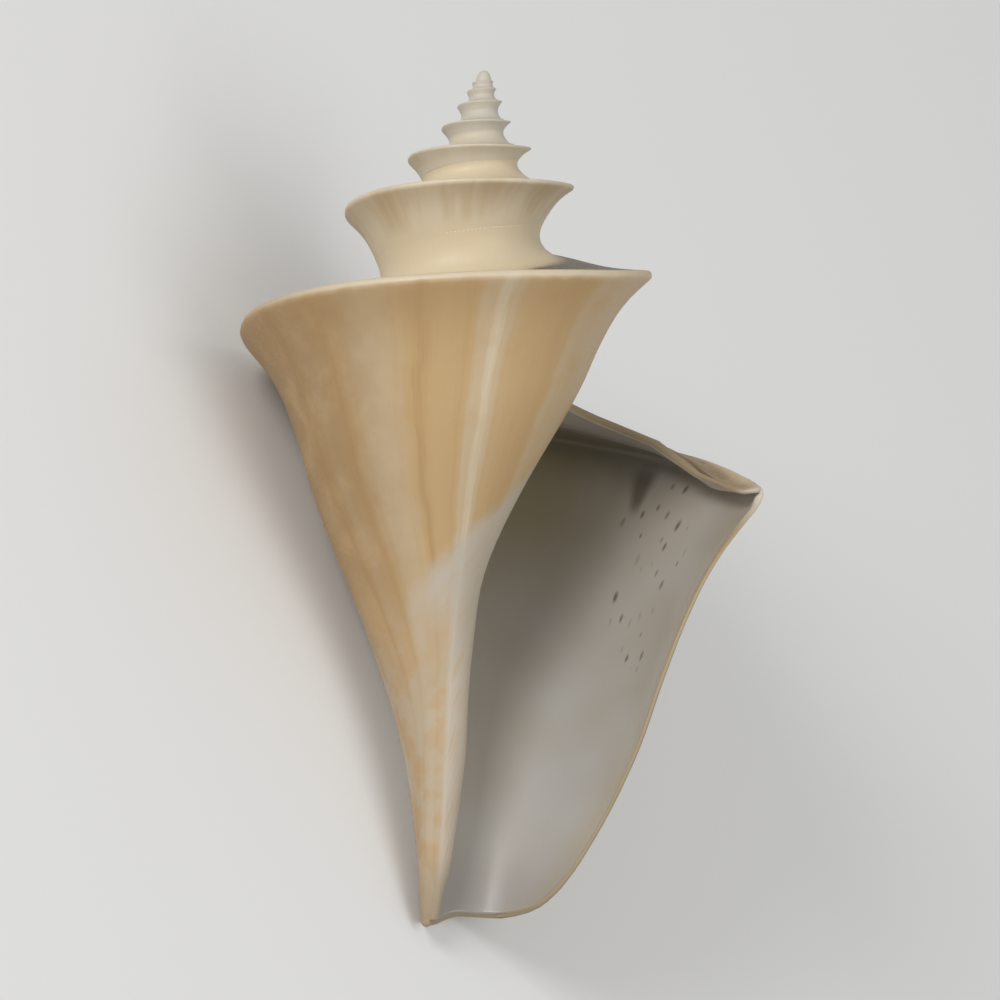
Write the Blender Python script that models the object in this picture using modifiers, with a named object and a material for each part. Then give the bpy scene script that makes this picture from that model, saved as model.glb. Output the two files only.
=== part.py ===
"""Turrid shell (Japanese wonder shell), lying on its left and back as it settles by itself.

The shell is one sheet that winds round an axis. At every growth angle the sheet has the
same kind of section: a ramp that runs out from the suture to a sharp keel, and a side that
falls from the keel to the canal. The section grows along the spiral, is given a thickness,
and is joined to the solid columella in the middle.

Shell frame: the axis points from the apex to the canal, and "depth" is the distance down it
from the apex. The growth angle is 0 at the lip's keel corner and negative back along the
spiral. Sizes are millimetres until the mesh is made.
"""

import math

import bmesh
import bpy
import numpy as np
from mathutils import Matrix

MM = 0.001
TURN = 2 * math.pi

# The keel along the spiral, at growth angles counted in half turns back from the lip.
KEEL_STEPS = (0, 0.2, 0.5, 1, 1.5, 1.75, 2, 3, 3.5, 4, 5, 6, 7, 8, 9, 10, 11, 12, 13, 14, 15)
KEEL_RADIUS = (31.8, 30.5, 27.6, 23.9, 21.2, 19.95, 18.95, 13.85, 11.95, 10.25, 7.5, 5.5, 4.15,
               3.15, 2.6, 2.05, 1.68, 1.35, 1.2, 1.0, 0.82)
KEEL_DEPTH = (42.0, 36.9, 32.5, 27.9, 24.3, 22.3, 20.05, 15.2, 13.15, 11.65, 9.6, 7.9, 6.3,
              5.2, 3.95, 3.1, 2.35, 1.8, 1.4, 1.05, 0.75)

# How far the ramp falls from the suture to the keel.
RAMP_STEPS = (0, 0.25, 0.5, 1, 1.5, 2, 3, 4, 6, 8, 10, 12, 15)
RAMP_FALL = (8.4, 7.2, 5.6, 3.8, 2.9, 2.05, 1.8, 1.5, 1.2, 0.85, 0.55, 0.4, 0.2)

# The ramp from suture (0) to keel (1): a fillet at the suture, and level near the keel.
# Towards the lip it falls more evenly.
RAMP_ACROSS = (0, 0.1, 0.4, 0.66, 0.93, 1)
RAMP_DOWN = (0, 0.42, 0.76, 1.0, 1.02, 1)
LIP_RAMP_DOWN = (0, 0.20, 0.52, 0.80, 0.98, 1)
LIP_RAMP_STEPS = 1.4

# The side below the keel, in keel radii: a rounded nose, a flare and a long taper.
SIDE_DOWN = (0, 0.025, 0.05, 0.10, 0.17, 0.25, 0.34, 0.50, 0.68, 0.85, 1.02, 1.19, 1.36,
             1.53, 1.70, 1.88, 2.05, 2.23, 2.4, 2.6, 4.0)
SIDE_OUT = (1, 0.998, 0.986, 0.940, 0.878, 0.823, 0.776, 0.710, 0.647, 0.572, 0.487, 0.400,
            0.320, 0.245, 0.182, 0.133, 0.092, 0.060, 0.038, 0.022, 0)
LEAST_OUT = 0.004
SIDE_REACH = 2.6
# The side is drawn out towards the lip and on the first whorls.
STRETCH_STEPS = (0, 0.5, 1, 2, 3, 4, 5, 6, 7, 8, 9, 10, 13)
SIDE_STRETCH = (1.26, 1.10, 0.98, 0.94, 0.80, 0.73, 0.84, 0.64, 0.9, 0.85, 1.3, 1.6, 2.4)

CANAL_END = 88.5
CANAL_ROUNDING = 1.5

# The lip's edge, as degrees ahead of or behind the keel corner.
# Across the ramp it runs back in a deep sinus; down the side it bulges, then sweeps back.
SINUS_ACROSS = (0, 0.3, 0.5, 0.62, 0.70, 0.76, 0.80, 0.85, 0.93, 1)
SINUS_DEGREES = (-64, -61, -53, -43, -30, -15, -5, 1, 2, 0)
LIP_DOWN = (0, 0.1, 0.3, 0.55, 0.75, 0.86, 0.92, 0.96, 1)
LIP_DEGREES = (0, 2, 4, 4, 1, -3, -6.5, -12, -26)

# Rows across the section and columns round the spiral.
RAMP_ROWS = (0, 0.12, 0.42, 0.64, 0.78, 0.93)
SIDE_ROWS = (0, 0.04, 0.1, 0.18, 0.28, 0.4, 0.54, 0.7, 0.84, 0.94, 1)
SIDE_ROW_POWER = 1.25
COLUMNS_A_TURN = 40
SPIRE_COLUMNS_A_TURN = 22
OUTER_TURNS = 2.3
SPIRE_TURNS = 6.4

# The wall, and where the hollow ends inside the spire. The inner surface starts a little below
# the suture and turns a little inside the keel, both counted in wall thicknesses.
WALL_SHARE = 0.045
THINNEST_WALL = 0.3
THICKEST_WALL = 0.95
LIP_WALL = 0.6
LIP_THINS_OVER = math.radians(30)
ROOT = 0.45
BELOW_SUTURE = 1.05
INSIDE_KEEL = 1.25
BELOW_KEEL = 1.15
RAMP_SAMPLE = 0.01
SIDE_SAMPLE = 0.05
AXIS_HOLE = 0.15
HOLLOW_ENDS = -2.25 * TURN
HOLLOW_FULL = -2.05 * TURN

# The columella down the axis, from the round first whorl to the tip, which leans to the left.
# The last whorl wraps round it; inside the wrap is a core a little thinner.
COLUMELLA_DEPTH = (0, 0.15, 0.5, 1.0, 1.6, 3, 10, 25, 45, 56, 66, 72, 78, 82, 86, 88.6, 90.1, 90.5)
COLUMELLA_RADIUS = (0, 0.38, 0.64, 0.82, 0.88, 0.9, 1.2, 1.7, 2.3, 2.5, 2.25, 2.35, 1.95, 1.6, 1.25,
                    1.0, 0.6, 0)
CORE_SHARE = 0.85
CORE_FROM = 20
WRAP_STARTS = -1.25 * TURN
WRAP_FULL = -1.0 * TURN
WRAP_BLEND = 0.9
COLUMELLA_LEAN = 0.5
COLUMELLA_LEANS_FROM = 60
COLUMELLA_SIDES = 20

# How it lies: on its left and back, with the apex raised.
APEX_RAISED = math.radians(21.4)
ROLLED_LEFT = math.radians(50.1)
SMALLEST_EDGE = 0.004
SCREW_MERGE = 0.001
SHARP_EDGE = math.radians(50)
SHELL_COLOUR = (0.62, 0.47, 0.30, 1)
SHELL_ROUGHNESS = 0.35


def through(x, xs, ys):
    """Value at x of a smooth curve through the points, straight beyond its ends."""
    x = np.asarray(x, float)
    xs = np.asarray(xs, float)
    ys = np.asarray(ys, float)
    width = np.diff(xs)
    rise = np.diff(ys) / width
    slope = np.concatenate(([rise[0]], rise, [rise[-1]]))
    left = np.concatenate(([1.0], width, [1.0]))
    slope = (slope[:-1] * left[1:] + slope[1:] * left[:-1]) / (left[1:] + left[:-1])
    slope[0] = rise[0]
    slope[-1] = rise[-1]
    k = np.clip(np.searchsorted(xs, x) - 1, 0, len(xs) - 2)
    u = (x - xs[k]) / width[k]
    v = np.clip(u, 0, 1)
    value = (2 * v**3 - 3 * v**2 + 1) * ys[k] + (3 * v**2 - 2 * v**3) * ys[k + 1]
    value = value + (v**3 - 2 * v**2 + v) * width[k] * slope[k]
    value = value + (v**3 - v**2) * width[k] * slope[k + 1]
    return value + (u - v) * width[k] * np.where(u < 0, slope[0], slope[-1])


def smooth_step(x):
    x = np.clip(x, 0, 1)
    return x * x * (3 - 2 * x)


def steps(angle):
    return -np.asarray(angle) / math.pi


def keel_radius(angle):
    return np.exp(through(steps(angle), KEEL_STEPS, np.log(KEEL_RADIUS)))


def keel_depth(angle):
    return through(steps(angle), KEEL_STEPS, KEEL_DEPTH)


def suture_depth(angle):
    return keel_depth(angle) - through(steps(angle), RAMP_STEPS, RAMP_FALL)


def wrapped(angle):
    """How far the sheet follows the columella: 0 on the inner whorls, 1 on the last."""
    return smooth_step((np.asarray(angle) - WRAP_STARTS) / (WRAP_FULL - WRAP_STARTS))


def side_radius(angle, depth):
    radius = keel_radius(angle)
    stretch = through(steps(angle), STRETCH_STEPS, SIDE_STRETCH)
    down = np.clip((depth - keel_depth(angle)) / (radius * stretch), 0, SIDE_DOWN[-1])
    flare = radius * np.maximum(through(down, SIDE_DOWN, SIDE_OUT), LEAST_OUT)
    pillar = wrapped(angle) * through(depth, COLUMELLA_DEPTH, COLUMELLA_RADIUS)
    return (flare + pillar + np.hypot(flare - pillar, WRAP_BLEND * wrapped(angle))) / 2


def side_end(angle):
    """Depth of the side's lower edge: where it is inside the columella, or the canal's end."""
    end = keel_depth(angle) + SIDE_REACH * keel_radius(angle)
    k = CANAL_ROUNDING
    end = -k * np.log(np.exp(-end / k) + math.exp(-CANAL_END / k))
    return end + (CANAL_END - end) * wrapped(angle)


def wall(angle):
    full = np.clip(WALL_SHARE * keel_radius(angle), THINNEST_WALL, THICKEST_WALL)
    lip = smooth_step(-np.asarray(angle) / LIP_THINS_OVER)
    return np.where(angle > -LIP_THINS_OVER, LIP_WALL + (full - LIP_WALL) * lip, full)


def ramp_outside(angle, across):
    start_depth = suture_depth(angle)
    start = side_radius(angle - TURN, start_depth)
    radius = start + across * (keel_radius(angle) - start)
    even = smooth_step(1 - steps(angle) / LIP_RAMP_STEPS)
    down = (1 - even) * through(across, RAMP_ACROSS, RAMP_DOWN)
    down = down + even * through(across, RAMP_ACROSS, LIP_RAMP_DOWN)
    return radius, start_depth + (keel_depth(angle) - start_depth) * down


def offset_inwards(angle, section, where, small, distance):
    """The section's point at one place, moved square off the section into the hollow."""
    r0, d0 = section(angle, where - small)
    r1, d1 = section(angle, where + small)
    length = np.hypot(r1 - r0, d1 - d0)
    r, d = section(angle, where)
    return r - distance * (d1 - d0) / length, d + distance * (r1 - r0) / length


def side_outside(angle, depth):
    return side_radius(angle, depth), depth


def root_point(angle, depth):
    """A point in the middle of the previous whorl's wall."""
    return side_radius(angle - TURN, depth) - ROOT * wall(angle - TURN), depth


def outside(angle, row):
    """Radius and depth of the outer surface on a row: ramp rows come first."""
    if row == 0:
        return root_point(angle, suture_depth(angle))
    if row < len(RAMP_ROWS):
        return ramp_outside(angle, RAMP_ROWS[row])
    share = SIDE_ROWS[row - len(RAMP_ROWS)] ** SIDE_ROW_POWER
    top = keel_depth(angle)
    depth = top + share * (side_end(angle) - top)
    return side_radius(angle, depth), depth


def inside(angle, row):
    """Radius and depth of the inner surface on a row, a wall's thickness from the outer one."""
    thick = wall(angle)
    if row == 0:
        radius, depth = root_point(angle, suture_depth(angle) + BELOW_SUTURE * thick)
    elif row < len(RAMP_ROWS):
        start = side_radius(angle - TURN, suture_depth(angle))
        across = RAMP_ROWS[row] * (1 - INSIDE_KEEL * thick / (keel_radius(angle) - start))
        radius, depth = offset_inwards(angle, ramp_outside, across, RAMP_SAMPLE, thick)
    else:
        share = SIDE_ROWS[row - len(RAMP_ROWS)] ** SIDE_ROW_POWER
        top = keel_depth(angle) + BELOW_KEEL * thick
        below = top + share * (side_end(angle) - top)
        radius, depth = offset_inwards(angle, side_outside, below, SIDE_SAMPLE, thick)
    radius = np.maximum(radius, AXIS_HOLE)
    hollow = smooth_step((angle - HOLLOW_ENDS) / (HOLLOW_FULL - HOLLOW_ENDS))
    return AXIS_HOLE + (radius - AXIS_HOLE) * hollow, depth


def edge_lag(row):
    """Angle that the lip's edge runs ahead of the keel corner on a row."""
    if row < len(RAMP_ROWS):
        return math.radians(float(through(RAMP_ROWS[row], SINUS_ACROSS, SINUS_DEGREES)))
    return math.radians(float(through(SIDE_ROWS[row - len(RAMP_ROWS)], LIP_DOWN, LIP_DEGREES)))


def place(angle, radius, depth):
    x = radius * np.cos(angle)
    y = -radius * np.sin(angle)
    return np.stack([x, y, -depth], axis=-1) * MM


def growth_angles():
    spire = np.arange(-SPIRE_TURNS, -OUTER_TURNS, 1 / SPIRE_COLUMNS_A_TURN)
    outer_count = round(OUTER_TURNS * COLUMNS_A_TURN) + 1
    outer = np.linspace(-OUTER_TURNS, 0, outer_count)
    return np.concatenate([spire, outer]) * TURN


def make_object(name, verts, faces):
    mesh = bpy.data.meshes.new(name)
    mesh.from_pydata([tuple(v) for v in verts], [], faces)
    mesh.validate()
    obj = bpy.data.objects.new(name, mesh)
    bpy.context.scene.collection.objects.link(obj)
    bm = bmesh.new()
    bm.from_mesh(mesh)
    bmesh.ops.triangulate(bm, faces=bm.faces)
    bmesh.ops.recalc_face_normals(bm, faces=bm.faces)
    bm.to_mesh(mesh)
    bm.free()
    return obj


def make_sheet():
    """The wound sheet: a loft of its closed section along the spiral, closed at both ends."""
    columns = growth_angles()
    forward = smooth_step(1 + columns / math.pi)
    rows = len(RAMP_ROWS) + len(SIDE_ROWS)
    surfaces = []
    for surface in (outside, inside):
        for row in range(rows):
            angle = columns + edge_lag(row) * forward
            surfaces.append(place(angle, *surface(angle, row)))
    verts = np.stack(surfaces, axis=1)

    def corner(column, row, inner):
        return column * 2 * rows + inner * rows + row

    faces = []
    for column in range(len(columns) - 1):
        for row in range(rows - 1):
            rising = verts[column, row] - verts[column + 1, row + 1]
            falling = verts[column, row + 1] - verts[column + 1, row]
            short_rises = np.linalg.norm(rising) < np.linalg.norm(falling)
            for inner in (0, 1):
                here = corner(column, row, inner)
                below = corner(column, row + 1, inner)
                ahead = corner(column + 1, row, inner)
                across = corner(column + 1, row + 1, inner)
                if short_rises:
                    pair = ((here, below, across), (here, across, ahead))
                else:
                    pair = ((here, below, ahead), (below, across, ahead))
                faces.extend(face[::-1] if inner else face for face in pair)
        for row in (0, rows - 1):
            ring = [(column, 0), (column, 1), (column + 1, 1), (column + 1, 0)]
            faces.append([corner(c, row, inner) for c, inner in ring])
    for column in (0, len(columns) - 1):
        for row in range(rows - 1):
            ring = [(row, 0), (row, 1), (row + 1, 1), (row + 1, 0)]
            faces.append([corner(column, r, inner) for r, inner in ring])
    return make_object("sheet", verts.reshape(-1, 3), faces)


def make_columella():
    """The solid pillar in the middle: a turned profile whose tip leans a little."""
    mesh = bpy.data.meshes.new("columella")
    points = []
    for radius, depth in zip(COLUMELLA_RADIUS, COLUMELLA_DEPTH):
        share = CORE_SHARE if depth > CORE_FROM else 1
        points.append((radius * share * MM, 0, -depth * MM))
    mesh.from_pydata(points, [(k, k + 1) for k in range(len(points) - 1)], [])
    obj = bpy.data.objects.new("columella", mesh)
    bpy.context.scene.collection.objects.link(obj)
    turned = obj.modifiers.new("turned", "SCREW")
    turned.steps = COLUMELLA_SIDES
    turned.render_steps = COLUMELLA_SIDES
    turned.use_merge_vertices = True
    turned.merge_threshold = SCREW_MERGE * MM
    turned.use_normal_calculate = True
    apply_modifiers(obj)
    for vertex in obj.data.vertices:
        below = max(0, -vertex.co.z / MM - COLUMELLA_LEANS_FROM)
        along = below / (CANAL_END - COLUMELLA_LEANS_FROM)
        vertex.co.x -= COLUMELLA_LEAN * along**2 * MM
    return obj


def apply_modifiers(obj):
    """Replaces an object's mesh with what its modifiers make of it."""
    graph = bpy.context.evaluated_depsgraph_get()
    mesh = bpy.data.meshes.new_from_object(obj.evaluated_get(graph))
    obj.modifiers.clear()
    obj.data = mesh


def join_solids(body, other):
    """One solid from two that overlap; the body may overlap itself too."""
    union = body.modifiers.new("union", "BOOLEAN")
    union.operation = "UNION"
    union.solver = "EXACT"
    union.use_self = True
    union.object = other
    apply_modifiers(body)
    bpy.data.objects.remove(other)
    bm = bmesh.new()
    bm.from_mesh(body.data)
    bmesh.ops.remove_doubles(bm, verts=bm.verts, dist=SMALLEST_EDGE * MM)
    bmesh.ops.dissolve_degenerate(bm, edges=bm.edges, dist=SMALLEST_EDGE * MM)
    bmesh.ops.triangulate(bm, faces=bm.faces)
    bm.to_mesh(body.data)
    bm.free()


def lay_down(obj):
    """Turns the shell as it lies, with its box's foot at the origin."""
    turn = Matrix.Rotation(APEX_RAISED - math.pi / 2, 4, "X") @ Matrix.Rotation(-ROLLED_LEFT, 4, "Z")
    obj.data.transform(turn)
    places = np.array([vertex.co for vertex in obj.data.vertices])
    low = places.min(axis=0)
    high = places.max(axis=0)
    foot = ((low[0] + high[0]) / 2, (low[1] + high[1]) / 2, low[2])
    obj.data.transform(Matrix.Translation([-value for value in foot]))


def shell_material():
    material = bpy.data.materials.new("shell")
    material.use_nodes = True
    surface = material.node_tree.nodes["Principled BSDF"]
    surface.inputs["Base Color"].default_value = SHELL_COLOUR
    surface.inputs["Roughness"].default_value = SHELL_ROUGHNESS
    surface.inputs["Metallic"].default_value = 0
    return material


def make_shell():
    shell = make_sheet()
    shell.name = "shell"
    join_solids(shell, make_columella())
    lay_down(shell)
    shell.data.materials.append(shell_material())
    shell.data.shade_smooth()
    shell.data.set_sharp_from_angle(angle=SHARP_EDGE)
    return shell


def main():
    for old in list(bpy.data.objects):
        bpy.data.objects.remove(old)
    parts = bpy.data.collections.new("turrid shell")
    bpy.context.scene.collection.children.link(parts)
    shell = make_shell()
    bpy.context.scene.collection.objects.unlink(shell)
    parts.objects.link(shell)


main()
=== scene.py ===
"""Looks of the turrid shell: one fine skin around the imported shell, its colours and its room.

The skin repeats the spiral's named values from the part's source, with many more rows and
columns, a rounded keel, a filled suture and a rounded lip. Attributes on its vertices say how
far along the growth and across the whorl each point is, and the material draws its growth
lines, bands, callus and specks from those.
"""

import math

import bmesh
import bpy
import numpy as np
from mathutils import Matrix, Vector


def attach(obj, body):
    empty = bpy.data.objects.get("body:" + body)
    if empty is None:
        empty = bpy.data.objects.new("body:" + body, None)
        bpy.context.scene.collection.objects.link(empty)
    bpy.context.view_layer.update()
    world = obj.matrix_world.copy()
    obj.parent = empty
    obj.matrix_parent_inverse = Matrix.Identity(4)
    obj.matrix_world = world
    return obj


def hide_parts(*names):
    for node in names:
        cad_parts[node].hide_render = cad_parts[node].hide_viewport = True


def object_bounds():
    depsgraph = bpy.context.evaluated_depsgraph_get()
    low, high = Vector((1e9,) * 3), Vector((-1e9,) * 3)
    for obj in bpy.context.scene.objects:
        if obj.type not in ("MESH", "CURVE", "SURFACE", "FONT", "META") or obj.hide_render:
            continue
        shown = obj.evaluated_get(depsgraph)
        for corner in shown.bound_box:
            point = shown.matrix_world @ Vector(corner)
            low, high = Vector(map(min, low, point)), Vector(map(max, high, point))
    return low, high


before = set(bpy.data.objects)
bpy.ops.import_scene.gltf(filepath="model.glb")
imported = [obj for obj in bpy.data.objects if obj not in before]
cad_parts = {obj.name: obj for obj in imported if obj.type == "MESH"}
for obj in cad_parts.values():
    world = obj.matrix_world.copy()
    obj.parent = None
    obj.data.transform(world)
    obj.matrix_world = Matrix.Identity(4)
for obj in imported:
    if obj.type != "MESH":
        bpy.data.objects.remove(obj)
cad_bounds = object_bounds()

MM = 0.001
TURN = 2 * math.pi

# ---------------------------------------------------------------- the shell's shape
# The part's own values, finer in places. A step is half a turn, counted back from the lip.
KEEL_STEPS = (0, 0.2, 0.5, 1, 1.5, 1.75, 2, 3, 3.5, 4, 5, 6, 7, 8, 9, 10, 11, 12, 13, 14, 15)
KEEL_RADIUS = (31.8, 30.5, 27.6, 23.9, 21.2, 19.95, 18.95, 13.85, 11.95, 10.25, 7.5, 5.5, 4.15,
               3.15, 2.6, 2.05, 1.68, 1.35, 1.2, 1.0, 0.82)
KEEL_DEPTH = (42.0, 36.9, 32.5, 27.9, 24.3, 22.3, 20.05, 15.2, 13.15, 11.65, 9.6, 7.9, 6.3,
              5.2, 3.95, 3.1, 2.35, 1.8, 1.4, 1.05, 0.75)
RAMP_STEPS = (0, 0.25, 0.5, 1, 1.5, 2, 3, 4, 6, 8, 10, 12, 15)
RAMP_FALL = (8.4, 7.2, 5.6, 3.8, 2.9, 2.05, 1.8, 1.5, 1.2, 0.85, 0.55, 0.4, 0.2)
RAMP_ACROSS = (0, 0.1, 0.4, 0.66, 0.93, 1)
RAMP_DOWN = (0, 0.42, 0.76, 1.0, 1.02, 1)
LIP_RAMP_DOWN = (0, 0.20, 0.52, 0.80, 0.98, 1)
LIP_RAMP_STEPS = 1.4
SIDE_DOWN = (0, 0.025, 0.05, 0.10, 0.17, 0.25, 0.34, 0.50, 0.68, 0.85, 1.02, 1.19, 1.36,
             1.53, 1.70, 1.88, 2.05, 2.23, 2.4, 2.6, 4.0)
SIDE_OUT = (1, 0.998, 0.986, 0.940, 0.878, 0.823, 0.776, 0.710, 0.647, 0.572, 0.487, 0.400,
            0.320, 0.245, 0.182, 0.133, 0.092, 0.060, 0.038, 0.022, 0)
SIDE_REACH = 2.6
STRETCH_STEPS = (0, 0.5, 1, 2, 3, 4, 5, 6, 7, 8, 9, 10, 13)
SIDE_STRETCH = (1.26, 1.10, 0.98, 0.94, 0.80, 0.73, 0.84, 0.64, 0.9, 0.85, 1.3, 1.6, 2.4)
CANAL_END = 88.5
CANAL_ROUNDING = 1.5
SINUS_ACROSS = (0, 0.3, 0.5, 0.62, 0.70, 0.76, 0.80, 0.85, 0.93, 1)
SINUS_DEGREES = (-64, -61, -53, -43, -30, -15, -5, 1, 2, 0)
LIP_DOWN = (0, 0.1, 0.3, 0.55, 0.75, 0.86, 0.92, 0.96, 0.985, 0.995, 1)
LIP_DEGREES = (0, 2, 4.5, 5, 2, -2.5, -6.5, -12, -20, -28, -37)
SIDE_ROW_POWER = 1.25
WALL_SHARE = 0.045
THINNEST_WALL = 0.3
THICKEST_WALL = 0.95
LIP_WALL = 0.5
LIP_THINS_OVER = math.radians(30)
ROOT = 0.45
HOLLOW_ENDS = -2.25 * TURN
HOLLOW_FULL = -2.05 * TURN
COLUMELLA_DEPTH = (0, 0.1, 0.3, 0.6, 1.0, 1.6, 3, 10, 25, 45, 56, 66, 72, 78, 82, 86, 88.3, 89.7,
                   90.3, 90.43)
COLUMELLA_RADIUS = (0, 0.32, 0.52, 0.68, 0.80, 0.88, 0.9, 1.2, 1.7, 2.3, 2.5, 2.25, 2.35, 1.95, 1.6,
                    1.18, 0.9, 0.55, 0.28, 0)
CORE_SHARE = 0.85
CORE_FROM = 20
WRAP_STARTS = -1.25 * TURN
WRAP_FULL = -1.0 * TURN
WRAP_BLEND = 0.9
COLUMELLA_LEAN = 0.5
COLUMELLA_LEANS_FROM = 60
APEX_RAISED = math.radians(21.4)
ROLLED_LEFT = math.radians(50.1)

LEAST_FLARE = 0.004
CORE_HOLDS = 0.92
HOLLOW_CORE = 0.15
INNER_ROOT = 0.02
INNER_END = 1.998
RAMP_STOPS_SHORT = 1.6
SIDE_STARTS_BELOW = 1.9
INNER_CORNER = (1.25, 1.05)
LAG_ROUNDS = 4

# ---------------------------------------------------------------- the skin's own values
# Turns back from the lip at which each stretch of columns starts, and columns in a turn.
STRETCHES = ((7.4, 44), (4.0, 64), (2.3, 120), (1.0, 300))
SUTURE_FILLET = 2.8
FILLET_SHARE = 0.28
FILLET_RISE = 0.42
SUNK = 0.003
SLOPE_SAMPLE = 0.05
RIM_ROUND = 0.85
RIM_SHARE = 0.045
FILLET_POINTS = 6
SUTURE_POINTS = 8
SUTURE_POWER = 1.7
RAMP_POINTS = 13
SIDE_POINTS = 52
SIDE_POWERS = (1.3, 1.5)
LIP_EDGE_POINTS = 6
EDGE_FADE = 0.03
COLUMELLA_SIDES = 48
COLUMELLA_ROWS = 90
SKIN_LIFT = 0.15
SKIN_BACK = 0.03
SEAM_REACH = 0.10
TIP_STARTS = 83.5
TIP_SMOOTH = 3.5
TIP_FROM = -0.33 * TURN
TIP_OVER = 0.17 * TURN
WEB_FROM = -0.165 * TURN
WEB_OVER = 0.09 * TURN
WEB_DROP = 1.3
CORE_FILLS_FROM = 80
CORE_FILLS_TO = 85.5
# The columella takes the spire's colours down to here, and the canal's below.
SPIRE_CORE = 10
SPIRE_AGE = -7.0
CANAL_AGE = -0.3
# The ramp hangs a little near the lip, by this much at most.
LIP_SAG = 1.8
SAG_ACROSS = (0, 0.5, 0.66, 0.77, 0.88, 0.96, 1)
SAG_SHARE = (0, 0, 0.4, 1, 0.9, 0.4, 0)
SAG_STEPS = (0, 0.04, 0.09, 0.15, 0.26)
SAG_ALONG = (0.45, 0.8, 0.95, 0.38, 0)
# The inside corner under the keel is filled out near the lip.
CORNER_FILL = 1.8
CORNER_FILL_STEPS = 0.3
RIM_WAVE = 0.12
FULL_WAVE_RADIUS = 20


def through(x, xs, ys):
    """Value at x of a smooth curve through the points, straight beyond its ends."""
    x = np.asarray(x, float)
    xs = np.asarray(xs, float)
    ys = np.asarray(ys, float)
    width = np.diff(xs)
    rise = np.diff(ys) / width
    slope = np.concatenate(([rise[0]], rise, [rise[-1]]))
    left = np.concatenate(([1.0], width, [1.0]))
    slope = (slope[:-1] * left[1:] + slope[1:] * left[:-1]) / (left[1:] + left[:-1])
    slope[0] = rise[0]
    slope[-1] = rise[-1]
    k = np.clip(np.searchsorted(xs, x) - 1, 0, len(xs) - 2)
    u = (x - xs[k]) / width[k]
    v = np.clip(u, 0, 1)
    value = (2 * v**3 - 3 * v**2 + 1) * ys[k] + (3 * v**2 - 2 * v**3) * ys[k + 1]
    value = value + (v**3 - 2 * v**2 + v) * width[k] * slope[k]
    value = value + (v**3 - v**2) * width[k] * slope[k + 1]
    return value + (u - v) * width[k] * np.where(u < 0, slope[0], slope[-1])


def smooth_step(x):
    x = np.clip(x, 0, 1)
    return x * x * (3 - 2 * x)


def steps(angle):
    return -np.asarray(angle) / math.pi


def keel_radius(angle):
    return np.exp(through(steps(angle), KEEL_STEPS, np.log(KEEL_RADIUS)))


def keel_depth(angle):
    return through(steps(angle), KEEL_STEPS, KEEL_DEPTH)


def suture_depth(angle):
    return keel_depth(angle) - through(steps(angle), RAMP_STEPS, RAMP_FALL)


def wrapped(angle):
    return smooth_step((np.asarray(angle) - WRAP_STARTS) / (WRAP_FULL - WRAP_STARTS))


def side_radius(angle, depth):
    radius = keel_radius(angle)
    stretch = through(steps(angle), STRETCH_STEPS, SIDE_STRETCH)
    down = np.clip((depth - keel_depth(angle)) / (radius * stretch), 0, SIDE_DOWN[-1])
    flare = radius * np.maximum(through(down, SIDE_DOWN, SIDE_OUT), LEAST_FLARE)
    core = through(depth, COLUMELLA_DEPTH, COLUMELLA_RADIUS)
    pillar = wrapped(angle) * core
    radius = (flare + pillar + np.hypot(flare - pillar, WRAP_BLEND * wrapped(angle))) / 2
    sinks = smooth_step((depth - TIP_STARTS) / TIP_SMOOTH)
    sinks = sinks * smooth_step((TIP_FROM - np.asarray(angle)) / TIP_OVER)
    return radius + (CORE_HOLDS * core - radius) * sinks


def side_end(angle):
    end = keel_depth(angle) + SIDE_REACH * keel_radius(angle)
    k = CANAL_ROUNDING
    end = -k * np.log(np.exp(-end / k) + math.exp(-CANAL_END / k))
    web = WEB_DROP * smooth_step((WEB_FROM - np.asarray(angle)) / WEB_OVER)
    return end + (CANAL_END + web - end) * wrapped(angle)


def wall(angle):
    full = np.clip(WALL_SHARE * keel_radius(angle), THINNEST_WALL, THICKEST_WALL)
    lip = smooth_step(-np.asarray(angle) / LIP_THINS_OVER)
    return np.where(angle > -LIP_THINS_OVER, LIP_WALL + (full - LIP_WALL) * lip, full)


def ramp_width(angle):
    return keel_radius(angle) - side_radius(angle - TURN, suture_depth(angle))


def suture_fillet(angle):
    """How far the rounding of the suture reaches out on the ramp."""
    return np.minimum(SUTURE_FILLET, FILLET_SHARE * ramp_width(angle))


def fillet_rise(angle):
    """How far it reaches up the older whorl: a share of that whorl's side above the suture."""
    return FILLET_RISE * (suture_depth(angle) - keel_depth(angle - TURN))


def ramp_outside(angle, across):
    start_depth = suture_depth(angle)
    start = side_radius(angle - TURN, start_depth)
    radius = start + across * (keel_radius(angle) - start)
    even = smooth_step(1 - steps(angle) / LIP_RAMP_STEPS)
    down = (1 - even) * through(across, RAMP_ACROSS, RAMP_DOWN)
    down = down + even * through(across, RAMP_ACROSS, LIP_RAMP_DOWN)
    along = through(np.clip(steps(angle), 0, SAG_STEPS[-1]), SAG_STEPS, SAG_ALONG)
    sag = LIP_SAG * along * through(across, SAG_ACROSS, SAG_SHARE)
    return radius, start_depth + (keel_depth(angle) - start_depth) * down + sag


def rim_wave(angle):
    """The rim's small unevenness along the growth, from 0 to 1."""
    waves = np.sin(37 * angle) + np.sin(61 * angle + 1.3) + np.sin(97 * angle + 0.4)
    return 0.5 + waves / 6


def side_at(angle, share):
    """Radius and depth on the side, at a share of the way from the keel to the canal's end."""
    top = keel_depth(angle)
    depth = top + share**SIDE_ROW_POWER * (side_end(angle) - top)
    return side_radius(angle, depth), depth


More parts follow.
